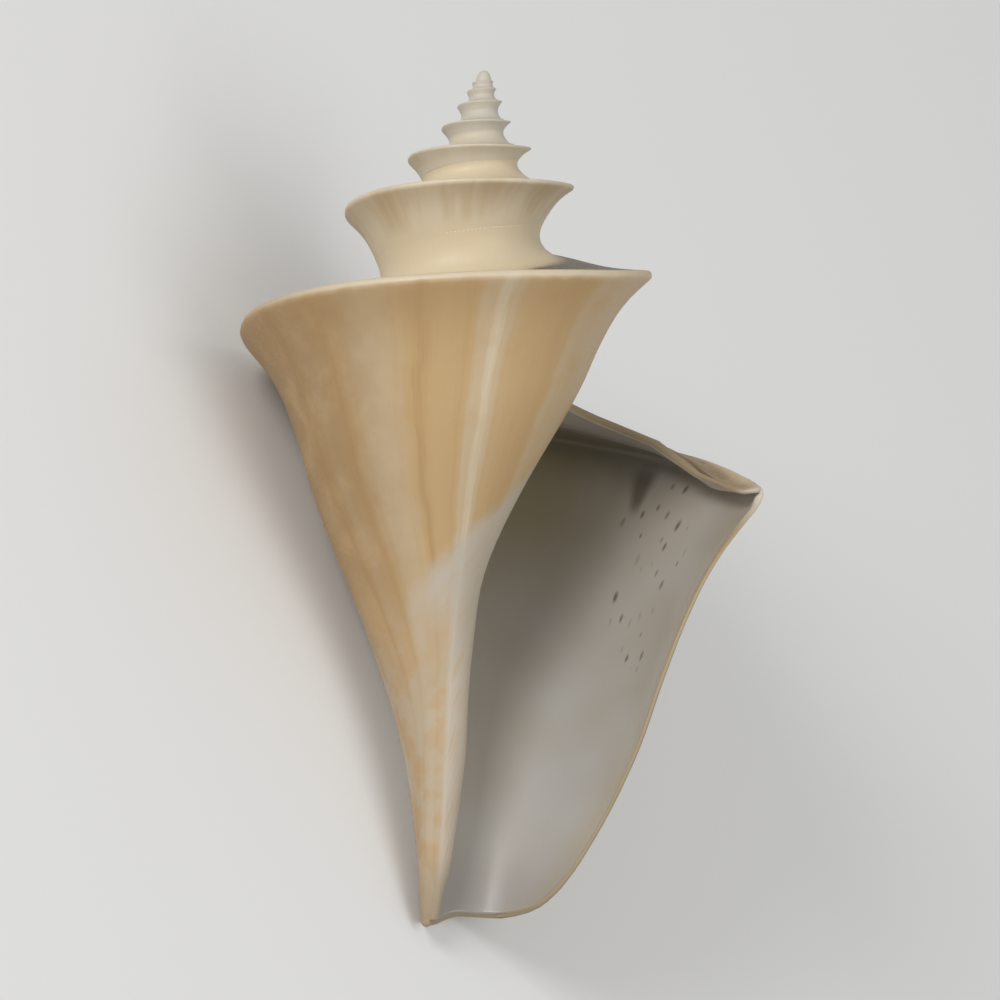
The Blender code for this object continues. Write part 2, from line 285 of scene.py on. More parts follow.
def section(angle, across):
    """The outer section: 0 at the suture, 1 at the keel, 2 at the canal's end."""
    ramp = ramp_outside(angle, np.clip(across, 0, 1))
    side = side_at(angle, np.clip(across - 1, 0, 1))
    on_side = across > 1
    return np.where(on_side, side[0], ramp[0]), np.where(on_side, side[1], ramp[1])


def bend(start, corner, end, u):
    """A point on the curve that rounds a corner."""
    return tuple((1 - u) ** 2 * a + 2 * u * (1 - u) * b + u**2 * c
                 for a, b, c in zip(start, corner, end))


def edge_lag(across):
    """Angle that the lip's edge runs ahead of the keel corner."""
    sinus = through(np.clip(across, 0, 1), SINUS_ACROSS, SINUS_DEGREES)
    lip = through(np.clip(across - 1, 0, 1), LIP_DOWN, LIP_DEGREES)
    return np.radians(np.where(across > 1, lip, sinus))


def side_share(angle, distance):
    """The share of the side that a distance down from the keel is."""
    return (distance / (side_end(angle) - keel_depth(angle))) ** (1 / SIDE_ROW_POWER)


def outside(angle, kind, u):
    """Radius, depth and place across of the outer surface on one row."""
    if kind == "root":
        depth = suture_depth(angle)
        radius = side_radius(angle - TURN, depth) - ROOT * wall(angle - TURN)
        return radius, depth, np.zeros_like(angle)
    width = ramp_width(angle)
    fillet = suture_fillet(angle) / width
    rim = np.minimum(RIM_ROUND, RIM_SHARE * keel_radius(angle))
    if kind == "suture":
        rise = fillet_rise(angle)
        above = suture_depth(angle) - rise
        start = side_radius(angle - TURN, above) - SUNK, above
        slope = (side_radius(angle - TURN, above + SLOPE_SAMPLE) - start[0] - SUNK) / SLOPE_SAMPLE
        corner = start[0] + slope * rise, suture_depth(angle)
        radius, depth = bend(start, corner, section(angle, fillet), u)
        return radius, depth, u * fillet
    if kind == "ramp":
        across = fillet + (1 - rim / width - fillet) * u
        return *section(angle, across), across
    if kind == "rim":
        start = 1 - rim / width
        end = 1 + side_share(angle, rim)
        radius, depth = bend(section(angle, start), section(angle, 1 + 0 * angle),
                             section(angle, end), u)
        worn = RIM_WAVE * np.minimum(1, keel_radius(angle) / FULL_WAVE_RADIUS)
        radius = radius - worn * rim_wave(angle) * 4 * u * (1 - u)
        return radius, depth, start + (end - start) * u
    across = 1 + side_share(angle, rim) * (1 - u) + u
    across = np.minimum(across, 2)
    return *section(angle, across), across


def inwards(angle, across, distance):
    """A point of the outer section moved square off it, into the hollow."""
    small = np.where(across > 1, 0.002, 0.01)
    before = section(angle, across - small)
    after = section(angle, across + small)
    dr = after[0] - before[0]
    dd = after[1] - before[1]
    length = np.maximum(np.hypot(dr, dd), 1e-9)
    radius, depth = section(angle, across)
    return radius - distance * dd / length, depth + distance * dr / length


def inside(angle, kind, u):
    """Radius, depth and place across of the inner surface on one row."""
    thick = wall(angle)
    width = ramp_width(angle)
    fillet = suture_fillet(angle) / width
    rounding = 1 + CORNER_FILL * smooth_step(1 - steps(angle) / CORNER_FILL_STEPS)
    ramp_end = 1 - RAMP_STOPS_SHORT * thick / width
    side_start = 1 + side_share(angle, SIDE_STARTS_BELOW * rounding * thick)
    if kind == "root":
        depth = suture_depth(angle) + INNER_CORNER[1] * thick
        radius = side_radius(angle - TURN, depth) - ROOT * wall(angle - TURN)
        across = np.zeros_like(angle)
    elif kind == "suture":
        across = INNER_ROOT + (fillet - INNER_ROOT) * u
        radius, depth = inwards(angle, across, thick)
    elif kind == "ramp":
        across = fillet + (ramp_end - fillet) * u
        radius, depth = inwards(angle, across, thick)
    elif kind == "rim":
        start = inwards(angle, ramp_end, thick)
        end = inwards(angle, side_start, thick)
        corner = (keel_radius(angle) - INNER_CORNER[0] * thick,
                  keel_depth(angle) + INNER_CORNER[1] * thick)
        radius, depth = bend(start, corner, end, u)
        across = ramp_end + (side_start - ramp_end) * u
    else:
        across = np.minimum(side_start + (INNER_END - side_start) * u, INNER_END)
        radius, depth = inwards(angle, across, thick)
    radius = np.maximum(radius, HOLLOW_CORE)
    hollow = smooth_step((angle - HOLLOW_ENDS) / (HOLLOW_FULL - HOLLOW_ENDS))
    return HOLLOW_CORE + (radius - HOLLOW_CORE) * hollow, depth, across


def around(angle, radius, depth):
    return np.stack([radius * np.cos(angle), -radius * np.sin(angle), -depth], axis=-1)


def rows():
    """Kinds and places of the rows across the section, the same outside and inside."""
    listed = [("root", 0.0)]
    listed += [("suture", float(u)) for u in np.linspace(0, 1, SUTURE_POINTS) ** SUTURE_POWER]
    listed += [("ramp", float(u)) for u in np.linspace(0, 1, RAMP_POINTS)[1:]]
    listed += [("rim", float(u)) for u in np.linspace(0, 1, FILLET_POINTS)[1:]]
    even = np.linspace(0, 1, SIDE_POINTS)[1:]
    listed += [("side", float(u)) for u in 1 - (1 - even**SIDE_POWERS[0]) ** SIDE_POWERS[1]]
    return listed


def columns():
    """Growth angles of the columns, closer together towards the lip."""
    stretches = []
    for k, (start, count) in enumerate(STRETCHES):
        end = STRETCHES[k + 1][0] if k + 1 < len(STRETCHES) else 0
        stretches.append(np.arange(-start, -end - 1e-9, 1 / count))
    return np.append(np.concatenate(stretches), 0) * TURN


def surface(shape, growth, listed):
    """Points, growth and place across of one surface on its grid of columns and rows.

    Both surfaces run ahead as the outer one does, so the lip is cut square through the wall.
    """
    forward = smooth_step(1 + growth / math.pi)
    points, ages, places, angles = [], [], [], []
    for kind, u in listed:
        angle = growth
        for _ in range(LAG_ROUNDS):
            angle = growth + edge_lag(outside(angle, kind, u)[2]) * forward
        radius, depth, across = shape(angle, kind, u)
        points.append(around(angle, radius, depth))
        ages.append(angle - edge_lag(across))
        places.append(across + 0 * angle)
        angles.append(angle)
    return (np.stack(points, 1), np.stack(ages, 1) / TURN, np.stack(places, 1),
            np.stack(angles, 1) / TURN)


class Skin:
    """Vertices, faces and attributes of the skin while it is put together."""

    def __init__(self):
        self.points = []
        self.faces = []
        self.hidden = []
        self.values = {"age": [], "across": [], "angle": [], "inner": [], "seam": []}
        self.count = 0

    def add(self, points, age, across, angle, inner, seam=0.0):
        """Adds a grid of points and returns its vertex numbers."""
        shape = points.shape[:-1]
        numbers = self.count + np.arange(math.prod(shape)).reshape(shape)
        self.points.append(points.reshape(-1, 3))
        for name, value in zip(self.values, (age, across, angle, inner, seam)):
            self.values[name].append(np.broadcast_to(value, shape).reshape(-1))
        self.count += math.prod(shape)
        return numbers

    def grid(self, numbers, flip=False, hidden=False):
        """Faces between the rows and columns; hidden ones don't shade into their neighbours."""
        a, b = numbers[:-1, :-1], numbers[:-1, 1:]
        c, d = numbers[1:, 1:], numbers[1:, :-1]
        ring = (a, d, c, b) if flip else (a, b, c, d)
        faces = np.stack(ring, axis=-1).reshape(-1, 4)
        self.faces.append(faces)
        self.hidden.append(np.full(len(faces), hidden))


def nearness(points, across, angle):
    """How close the outer surface is to a suture: 1 on its rounding, less on either whorl."""
    turned = angle * TURN
    size = SEAM_REACH * keel_radius(turned)
    up = suture_depth(turned + TURN) + points[..., 2] - fillet_rise(turned + TURN)
    side = np.where((angle < -1) & (across > 1), np.exp(-(np.clip(up, 0, None) / size) ** 2), 0)
    out = np.clip(across * ramp_width(turned) - suture_fillet(turned), 0, None)
    return np.where(across > 1, side, np.exp(-(out / size) ** 2))


def lip_edge(outer, inner, across):
    """Points that round the edge between the last outer and inner columns."""
    middle = (outer[-1] + inner[-1]) / 2
    half = (outer[-1] - inner[-1]) / 2
    out = outer[-1] - outer[-2]
    for other in (np.gradient(middle, axis=0), half):
        unit = other / np.linalg.norm(other, axis=-1, keepdims=True)
        out = out - unit * np.sum(out * unit, axis=-1, keepdims=True)
    out = out / np.linalg.norm(out, axis=-1, keepdims=True)
    fades = np.clip((2 - across[:, None]) / EDGE_FADE, 0, 1)
    reach = LIP_WALL / 2 * fades
    turn = np.linspace(0, math.pi, LIP_EDGE_POINTS + 2)[1:-1]
    return np.stack([middle + half * math.cos(t) + out * reach * math.sin(t) for t in turn])


def make_skin():
    skin = Skin()
    growth = columns()
    listed = rows()
    outer, age, across, angle = surface(outside, growth, listed)
    outer_ids = skin.add(outer, age, across, angle, 0, nearness(outer, across, angle))
    skin.grid(outer_ids[:, :2], hidden=True)
    skin.grid(outer_ids[:, 1:])
    hollow = int(np.searchsorted(growth, HOLLOW_ENDS + 1e-6))
    inner, inner_age, inner_across, inner_angle = surface(inside, growth[hollow:], listed)
    inner_ids = skin.add(inner, inner_age, inner_across, inner_angle, 1)
    skin.grid(inner_ids, flip=True)
    edge = lip_edge(outer, inner, across[-1])
    turn = np.linspace(0, 1, LIP_EDGE_POINTS + 2)[1:-1, None]
    edge_ids = skin.add(edge, 0, across[-1], angle[-1], turn)
    strip = np.concatenate([outer_ids[-1:], edge_ids, inner_ids[-1:]])
    skin.grid(strip)
    for row in (0, -1):
        ring = strip[:, row]
        skin.grid(np.stack([ring[: len(ring) // 2], ring[len(ring) // 2:][::-1]]), hidden=True)
    for row, flip in ((0, False), (-1, True)):
        seam = np.stack([inner_ids[:, row], outer_ids[hollow:, row]])
        skin.grid(seam if flip else seam[::-1], hidden=True)
    chord = np.stack([outer_ids[: hollow + 1, 0], outer_ids[: hollow + 1, -1]])
    skin.grid(chord, hidden=True)
    core = columella_grid()
    core_age = np.where(-core[..., 2] < SPIRE_CORE, SPIRE_AGE, CANAL_AGE)
    core_ids = skin.add(core, core_age, 2.0, 0.0, 0.0)
    skin.grid(core_ids, flip=True)
    return skin


def columella_grid():
    """The turned pillar in the middle, whose tip leans a little."""
    depth = CANAL_END * (1 - np.cos(np.linspace(0, math.pi, COLUMELLA_ROWS))) / 2
    depth = depth * COLUMELLA_DEPTH[-1] / CANAL_END
    radius = np.maximum(through(depth, COLUMELLA_DEPTH, COLUMELLA_RADIUS), 0)
    radius[0] = radius[-1] = 0
    fills = smooth_step((depth - CORE_FILLS_FROM) / (CORE_FILLS_TO - CORE_FILLS_FROM))
    radius *= np.where(depth > CORE_FROM, CORE_SHARE + (1 - CORE_SHARE) * fills, 1)
    turn = np.linspace(0, TURN, COLUMELLA_SIDES + 1)[:, None]
    points = around(turn, radius[None, :] + 0 * turn, depth[None, :] + 0 * turn)
    lean = np.clip(depth - COLUMELLA_LEANS_FROM, 0, None) / (CANAL_END - COLUMELLA_LEANS_FROM)
    points[..., 0] -= COLUMELLA_LEAN * lean**2
    return points


def resting():
    """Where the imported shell's apex is, and how the shell is turned."""
    turn = (Matrix.Rotation(APEX_RAISED - math.pi / 2, 4, "X")
            @ Matrix.Rotation(-ROLLED_LEFT, 4, "Z"))
    up = turn.to_3x3() @ Vector((0, 0, 1))
    apex = max((v.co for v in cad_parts["shell"].data.vertices), key=lambda co: co.dot(up))
    return turn, apex.copy()


def add_values(mesh, skin, points):
    """The vertex attributes that the materials read."""
    for name, values in skin.values.items():
        layer = mesh.attributes.new(name, "FLOAT", "POINT")
        layer.data.foreach_set("value", np.concatenate(values).astype(np.float32))
    layer = mesh.attributes.new("place", "FLOAT_VECTOR", "POINT")
    layer.data.foreach_set("vector", points.astype(np.float32).reshape(-1))


def make_object(skin, turn, apex):
    mesh = bpy.data.meshes.new("turrid_skin")
    points = np.concatenate(skin.points)
    faces = np.concatenate(skin.faces)
    mesh.from_pydata((points * MM).tolist(), [], faces.tolist())
    mesh.polygons.foreach_set("use_smooth", ~np.concatenate(skin.hidden))
    add_values(mesh, skin, points)
    mesh.transform(Matrix.Translation(apex) @ turn)
    mesh.transform(Matrix.Translation((0, -SKIN_BACK * MM, SKIN_LIFT * MM)))
    bm = bmesh.new()
    bm.from_mesh(mesh)
    bmesh.ops.remove_doubles(bm, verts=bm.verts, dist=1e-6)
    bmesh.ops.recalc_face_normals(bm, faces=bm.faces)
    bm.to_mesh(mesh)
    bm.free()
    obj = bpy.data.objects.new("turrid_skin", mesh)
    bpy.context.scene.collection.objects.link(obj)
    return obj


# ---------------------------------------------------------------- the room
CAMERA_LENS = 500
SENSOR = 36
VIEW_WIDTH = 104.8
SEEN_FROM_BELOW = math.radians(7.5)
IMAGE_LEAN = math.radians(3.5)
AIM_RIGHT = 4.5
AIM_DOWN = 44.8
# Each lamp's place, size and power.
KEY_LAMP = ((-0.36, 0.58, 0.88), 0.42, 6.2)
FILL_LAMP = ((0.75, 0.0, 0.9), 0.8, 4.5)
ROOM_LIGHT = 0.42
FLOOR_HALF = 3.0


def add_camera(turn, apex):
    """Looks down on the shell through a long lens."""
    across = Vector((1, 0, 0))
    up = Vector((0, -math.sin(SEEN_FROM_BELOW), math.cos(SEEN_FROM_BELOW)))
    back = Vector((0, -math.cos(SEEN_FROM_BELOW), -math.sin(SEEN_FROM_BELOW)))
    aim = (across * AIM_RIGHT - up * AIM_DOWN) * MM
    right = across * math.cos(IMAGE_LEAN) + up * math.sin(IMAGE_LEAN)
    top = up * math.cos(IMAGE_LEAN) - across * math.sin(IMAGE_LEAN)
    distance = VIEW_WIDTH * MM * CAMERA_LENS / SENSOR
    axes = Matrix((right, top, back)).transposed().to_4x4()
    place = Matrix.Translation(aim + back * distance) @ axes
    data = bpy.data.cameras.new("camera")
    data.lens = CAMERA_LENS
    data.sensor_width = SENSOR
    data.clip_end = 20
    camera = bpy.data.objects.new("camera", data)
    camera.matrix_world = Matrix.Translation(apex) @ turn @ place
    bpy.context.scene.collection.objects.link(camera)
    bpy.context.scene.camera = camera
    return camera


def add_lamp(name, camera, place, size, power, centre):
    """A soft square lamp; its place is right, up and towards the camera from the shell."""
    data = bpy.data.lights.new(name, "AREA")
    data.shape = "SQUARE"
    data.size = size
    data.energy = power
    lamp = bpy.data.objects.new(name, data)
    axes = camera.matrix_world.to_3x3()
    lamp.location = centre + axes @ Vector(place)
    lamp.rotation_euler = (centre - lamp.location).to_track_quat("-Z", "Y").to_euler()
    bpy.context.scene.collection.objects.link(lamp)


def add_floor():
    mesh = bpy.data.meshes.new("floor")
    half = FLOOR_HALF
    mesh.from_pydata([(-half, -half, 0), (half, -half, 0), (half, half, 0), (-half, half, 0)], [],
                     [(0, 1, 2, 3)])
    floor = bpy.data.objects.new("floor", mesh)
    bpy.context.scene.collection.objects.link(floor)
    material = bpy.data.materials.new("floor")
    material.use_nodes = True
    surface = material.node_tree.nodes["Principled BSDF"]
    surface.inputs["Base Color"].default_value = (0.8, 0.8, 0.79, 1)
    surface.inputs["Roughness"].default_value = 0.9
    mesh.materials.append(material)


def add_room(camera, centre):
    world = bpy.data.worlds.new("room")
    world.use_nodes = True
    world.node_tree.nodes["Background"].inputs["Color"].default_value = (1, 1, 1, 1)
    world.node_tree.nodes["Background"].inputs["Strength"].default_value = ROOM_LIGHT
    bpy.context.scene.world = world
    add_floor()
    add_lamp("key", camera, *KEY_LAMP, centre)
    add_lamp("fill", camera, *FILL_LAMP, centre)


def rgb(red, green, blue):
    """A colour of 0 to 255 a channel, as the shader takes it."""
    shares = (red / 255, green / 255, blue / 255)
    return tuple(c / 12.92 if c <= 0.04045 else ((c + 0.055) / 1.055) ** 2.4 for c in shares) + (1,)


class Nodes:
    """Builds a material's node tree; each call returns the new node's output."""

    def __init__(self, name):
        self.material = bpy.data.materials.new(name)
        self.material.use_nodes = True
        self.tree = self.material.node_tree
        self.surface = self.tree.nodes["Principled BSDF"]

    def put(self, value, socket):
        if isinstance(value, bpy.types.NodeSocket):
            self.tree.links.new(value, socket)
        else:
            socket.default_value = value

    def attribute(self, name, output="Fac"):
        node = self.tree.nodes.new("ShaderNodeAttribute")
        node.attribute_name = name
        return node.outputs[output]

    def math(self, operation, *values):
        node = self.tree.nodes.new("ShaderNodeMath")
        node.operation = operation
        for value, socket in zip(values, node.inputs):
            self.put(value, socket)
        return node.outputs[0]

    def add(self, a, b):
        return self.math("ADD", a, b)

    def mul(self, *values):
        product = values[0]
        for value in values[1:]:
            product = self.math("MULTIPLY", product, value)
        return product

    def flip(self, value):
        return self.math("SUBTRACT", 1.0, value)

    def step(self, value, low, high, start=0.0, end=1.0):
        """Smoothly from start to end as the value goes from low to high."""
        node = self.tree.nodes.new("ShaderNodeMapRange")
        node.interpolation_type = "SMOOTHSTEP"
        for given, socket in zip((value, low, high, start, end), node.inputs):
            self.put(given, socket)
        return node.outputs[0]

    def bump_at(self, value, centre, reach):
        """1 where the value is at the centre, falling smoothly to 0 at the reach."""
        return self.step(self.math("ABSOLUTE", self.math("SUBTRACT", value, centre)), 0.0, reach,
                         1.0, 0.0)

    def vector(self, x, y, z=0.0):
        node = self.tree.nodes.new("ShaderNodeCombineXYZ")
        for value, socket in zip((x, y, z), node.inputs):
            self.put(value, socket)
        return node.outputs[0]

    def parts(self, vector):
        node = self.tree.nodes.new("ShaderNodeSeparateXYZ")
        self.put(vector, node.inputs[0])
        return node.outputs

    def noise(self, vector, scale, detail=2.0, rough=0.5):
        node = self.tree.nodes.new("ShaderNodeTexNoise")
        self.put(vector, node.inputs["Vector"])
        node.inputs["Scale"].default_value = scale
        node.inputs["Detail"].default_value = detail
        node.inputs["Roughness"].default_value = rough
        return node.outputs["Fac"]

    def mix(self, factor, a, b):
        node = self.tree.nodes.new("ShaderNodeMix")
        node.data_type = "RGBA"
        self.put(factor, node.inputs["Factor"])
        self.put(a, node.inputs["A"])
        self.put(b, node.inputs["B"])
        return node.outputs["Result"]

    def mix_value(self, factor, a, b):
        node = self.tree.nodes.new("ShaderNodeMix")
        self.put(factor, node.inputs["Factor"])
        self.put(a, node.inputs["A"])
        self.put(b, node.inputs["B"])
        return node.outputs["Result"]

    def curve(self, value, stops):
        """A smooth curve through stops of position and height, both from 0 to 1."""
        node = self.tree.nodes.new("ShaderNodeValToRGB")
        ramp = node.color_ramp
        ramp.interpolation = "EASE"
        while len(ramp.elements) < len(stops):
            ramp.elements.new(0.5)
        for element, (position, height) in zip(ramp.elements, stops):
            element.position = position
            element.color = (height, height, height, 1)
        self.put(value, node.inputs["Fac"])
        return node.outputs["Color"]


# Growth bands of the last turn seen from the front: turns back from the lip, and how pale.
BANDS_FROM = 1.0
BANDS_TO = 0.48
BANDS = ((0.99, 0.30), (0.935, 0.72), (0.885, 0.62), (0.857, 0.20), (0.83, 0.25), (0.805, 0.42),
         (0.788, 0.98), (0.772, 0.75), (0.758, 0.22), (0.735, 0.30), (0.712, 0.12), (0.69, 0.55),
         (0.655, 0.80), (0.632, 0.50), (0.618, 0.14), (0.602, 0.45), (0.582, 0.55), (0.56, 0.12),
         (0.54, 0.35), (0.50, 0.30))

WHITE = rgb(210, 196, 170)
CREAM = rgb(192, 170, 136)
TAN = rgb(188, 157, 112)
BROWN = rgb(166, 131, 84)
STAIN = rgb(140, 108, 66)
ORANGE = rgb(186, 142, 88)
PALE = rgb(194, 187, 173)
SEAM_CREAM = rgb(212, 196, 166)
CALLUS_WHITE = rgb(188, 180, 166)
CALLUS_TAN = rgb(184, 150, 104)
# The ramp's hatch further back: its growth lines, made dark as painted shade.
HATCH_SHADED_DARK = rgb(70, 62, 48)
HATCH_SHADED_PALE = rgb(104, 92, 70)
LIP_RAMP_TAN = rgb(118, 95, 58)
LIP_RAMP_PALE = rgb(156, 127, 82)
PORCELAIN = rgb(182, 178, 172)
PORCELAIN_WARM = rgb(176, 169, 158)
# Porcelain further in: browner, and darker as painted shade in the hollow.
DEEP_SHADED = rgb(158, 150, 134)
# A painted shadow over the upper part further in.
OLIVE_PAINTED_SHADOW = rgb(140, 130, 98)
CANAL_INSIDE = rgb(140, 132, 126)
# The inside corner under the keel: the lip's white thickening, made brighter as painted light.
CORNER_WHITE_AND_LIGHT = rgb(216, 208, 198)
CANAL_CREAM = rgb(178, 164, 142)
CANAL_TAN = rgb(176, 148, 112)
CANAL_TIP = rgb(150, 134, 108)
UNDER_RAMP = rgb(152, 142, 124)
SPECK = rgb(84, 78, 68)
OLIVE = rgb(84, 75, 54)
LIP_BAND = rgb(186, 170, 140)
EDGE_TAN = rgb(152, 136, 108)
EDGE_WHITE = rgb(212, 204, 190)


# The callus's upper edge: how much its depth grows in a turn, and its depth at the lip.
CALLUS_EDGE = (46.9, 86.5)

# The specks inside the aperture: the spacing of their cells along and down, in millimetres, how
# far each reaches in its cell, and the slanting patch that holds them.
TURN_LENGTH = 150
SPECK_SPACING = (1.75, 3.8)
SPECK_REACH = (0.09, 0.25)
SPECK_SCATTER = 3.7
PATCH_AGE = -0.09
PATCH_DEPTH = 51.0
PATCH_SLANT = 0.001
PATCH_SIZE = (0.045, 13.0)
BLOTCH_AGE = -0.128
BLOTCH_DEPTH = 41.0
BLOTCH_SLANT = 0.001
BLOTCH_WIDTHS = (0.014, 0.006)


def growth_bands(n, age, across, place):
    """How pale the shell is across its growth: wide bands, narrow bands and fine lines."""
    wobble = n.math("SUBTRACT", n.noise(place, 0.16, 2.0), 0.5)
    bent = n.add(age, n.mul(wobble, 0.016))
    share = n.math("MULTIPLY_ADD", bent, 1 / (BANDS_FROM - BANDS_TO),
                   BANDS_FROM / (BANDS_FROM - BANDS_TO))
    stops = [((BANDS_FROM - at) / (BANDS_FROM - BANDS_TO), pale) for at, pale in BANDS]
    listed = n.curve(share, stops)
    elsewhere = n.step(n.noise(n.vector(n.mul(bent, 14.0), n.mul(across, 0.8), 3.0), 1.0, 3.0, 0.6),
                       0.36, 0.66)
    inside = n.mul(n.step(share, -0.06, 0.02), n.step(share, 1.06, 0.98))
    wide = n.mix_value(inside, elsewhere, listed)
    narrow = n.noise(n.vector(n.mul(bent, 75.0), n.mul(across, 2.0), 1.0), 1.0, 3.0, 0.6)
    fine = n.noise(n.vector(n.mul(age, 330.0), n.mul(across, 5.0), 7.0), 1.0, 2.0, 0.6)
    pale = n.add(wide, n.mul(n.math("SUBTRACT", narrow, 0.5), 0.34))
    pale = n.add(pale, n.mul(n.math("SUBTRACT", fine, 0.5), 0.20))
    older = n.step(age, -1.03, -1.08)
    return n.mix_value(older, pale, n.math("MULTIPLY_ADD", pale, 0.30, 0.86))


def outer_colour(n, age, across, place, seam):
    depth = n.mul(n.parts(place)[2], -1.0)
    pale = growth_bands(n, age, across, place)
    colour = n.mix(n.step(pale, -0.15, 0.30), BROWN, TAN)
    colour = n.mix(n.step(pale, 0.30, 0.75), colour, CREAM)
    colour = n.mix(n.step(pale, 0.80, 1.10), colour, WHITE)
    cloud = n.noise(place, 0.22, 3.0, 0.55)
    colour = n.mix(n.mul(n.step(cloud, 0.5, 0.8), n.step(age, -1.06, -1.0), 0.3), colour, ORANGE)
    stain = n.mul(n.step(age, -0.74, -0.58), n.step(age, -0.20, -0.40),
                  n.step(cloud, 0.25, 0.6, 0.45, 1.0))
    colour = n.mix(n.mul(stain, n.step(depth, 78.0, 40.0), 0.62), colour, STAIN)
    # the spire pales towards the apex
    spire = n.step(age, -1.3, -3.4)
    colour = n.mix(n.mul(spire, 0.9), colour, PALE)
    # brown just under the rim, partly the shell's own dark tan and partly painted shade under the
    # keel, and the white rim itself
    below = n.mul(n.step(across, 1.0, 1.03), n.step(across, 1.20, 1.04))
    newer = n.step(age, -0.82, -0.66)
    colour = n.mix(n.mul(below, n.mix_value(newer, 0.18, 0.42), n.flip(spire)), colour, BROWN)
    rim_noise = n.mul(n.math("SUBTRACT", n.noise(place, 0.5, 2.0), 0.5), 0.02)
    rim = n.mul(n.step(n.add(across, rim_noise), 1.045, 1.012), n.step(across, 0.90, 0.97))
    rim = n.mul(rim, n.step(age, -0.96, -0.84, 0.42, 0.85), n.step(age, -0.50, -0.68, 0.35, 1.0))
    colour = n.mix(rim, colour, WHITE)
    # both sides of a suture are cream, and paler on the spire
    at_seam = n.mix(spire, SEAM_CREAM, PALE)
    colour = n.mix(n.mul(seam, n.step(age, -0.12, -0.30)), colour, at_seam)
    # the ramp: cream, then a greyish brown hatch further back, made dark there as painted shade
    # where that stretch of ramp lies in shadow, and tan by the lip
    ramp = n.mul(n.step(across, 0.98, 0.90), n.flip(spire))
    hatch = n.noise(n.vector(n.mul(age, 420.0), n.mul(across, 3.0), 2.0), 1.0, 2.0, 0.7)
    shaded_hatch = n.mix(n.step(hatch, 0.35, 0.65), HATCH_SHADED_DARK, HATCH_SHADED_PALE)
    back = n.mul(n.step(age, -0.66, -0.70), n.step(age, -1.1, -0.98))
    colour = n.mix(n.mul(ramp, back, n.step(across, 0.16, 0.34), 0.9), colour, shaded_hatch)
    near_lip = n.mul(ramp, n.step(age, -0.24, -0.10))
    tan_hatch = n.mix(n.step(hatch, 0.30, 0.70), LIP_RAMP_TAN, LIP_RAMP_PALE)
    colour = n.mix(n.mul(near_lip, 0.85), colour, tan_hatch)
    # callus by the aperture: a slanting streaky edge, palest just below it
    wave = n.mul(n.math("SUBTRACT", n.noise(place, 0.6, 2.0), 0.5), 1.8)
    edge = n.math("MULTIPLY_ADD", age, *CALLUS_EDGE)
    past = n.math("SUBTRACT", n.add(depth, wave), edge)
    last_turn = n.step(age, -1.06, -1.03)
    streaks = n.noise(n.vector(n.mul(past, 0.9), n.mul(age, 9.0), 5.0), 1.0, 3.0, 0.6)
    callus = n.mul(n.step(past, -0.9, 1.9), last_turn, n.step(age, -0.60, -0.68))
    fade = n.mul(n.step(age, -0.80, -0.72), n.step(past, 4.0, 9.0))
    callus = n.mul(callus, n.flip(n.mul(fade, 0.85)), n.step(streaks, 0.2, 0.6, 0.55, 1.0))
    colour = n.mix(n.mul(callus, 0.85), colour, CALLUS_WHITE)
    patch = n.mul(n.bump_at(age, -0.68, 0.06), n.bump_at(depth, 61.0, 9.0), last_turn)
    colour = n.mix(n.mul(patch, 0.55), colour, CALLUS_TAN)
    # the canal's side: tan clouds on cream
    canal = n.mul(n.step(depth, 55.0, 68.0), last_turn)
    clouds = n.mix(n.step(n.noise(place, 0.35, 3.0), 0.4, 0.62), CANAL_CREAM, CANAL_TAN)
    colour = n.mix(n.mul(canal, 0.7, n.flip(n.mul(callus, 0.8))), colour, clouds)
    colour = n.mix(n.mul(n.step(depth, 82.0, 88.0), last_turn, 0.7), colour, CANAL_TIP)
    return colour


def inner_colour(n, age, across, place):
    depth = n.mul(n.parts(place)[2], -1.0)
    soft = n.noise(place, 0.10, 1.0)
    colour = n.mix(n.step(soft, 0.3, 0.7), PORCELAIN, PORCELAIN_WARM)
    # further into the aperture the porcelain is browner and darker; the darkness is painted shade
    # in the hollow
    colour = n.mix(n.step(age, -0.12, -0.34), colour, DEEP_SHADED)
    # a painted shadow, dark greenish brown, over the upper part further in, where the body whorl
    # shades the inside
    painted_shadow = n.mul(n.step(depth, 58.0, 42.0), n.step(age, -0.11, -0.2))
    colour = n.mix(n.mul(painted_shadow, 0.8), colour, OLIVE_PAINTED_SHADOW)
    under = n.mul(n.step(across, 1.03, 0.95), n.step(age, -0.05, -0.15))
    colour = n.mix(n.mul(under, 0.8), colour, UNDER_RAMP)
    lines = n.noise(n.vector(n.mul(age, 160.0), n.mul(across, 2.0), 9.0), 1.0, 3.0, 0.6)
    near_lip = n.step(age, -0.05, -0.004)
    band = n.mul(near_lip, n.step(lines, 0.3, 0.7, 0.35, 1.0))
    colour = n.mix(n.mul(band, 0.55), colour, LIP_BAND)
    colour = n.mix(n.mul(n.step(depth, 78.0, 88.0), 0.6), colour, CANAL_INSIDE)
    # white in the inside corner under the keel near the lip: partly the lip's white thickening,
    # partly painted light that lifts the shade under the ramp
    corner = n.mul(n.step(across, 1.16, 1.02), n.step(age, -0.12, -0.03))
    colour = n.mix(n.mul(corner, 0.85), colour, CORNER_WHITE_AND_LIGHT)
    colour = n.mix(n.mul(specks(n, age, depth), 0.75), colour, SPECK)
    return n.mix(n.mul(blotch(n, age, depth), 0.7), colour, OLIVE)


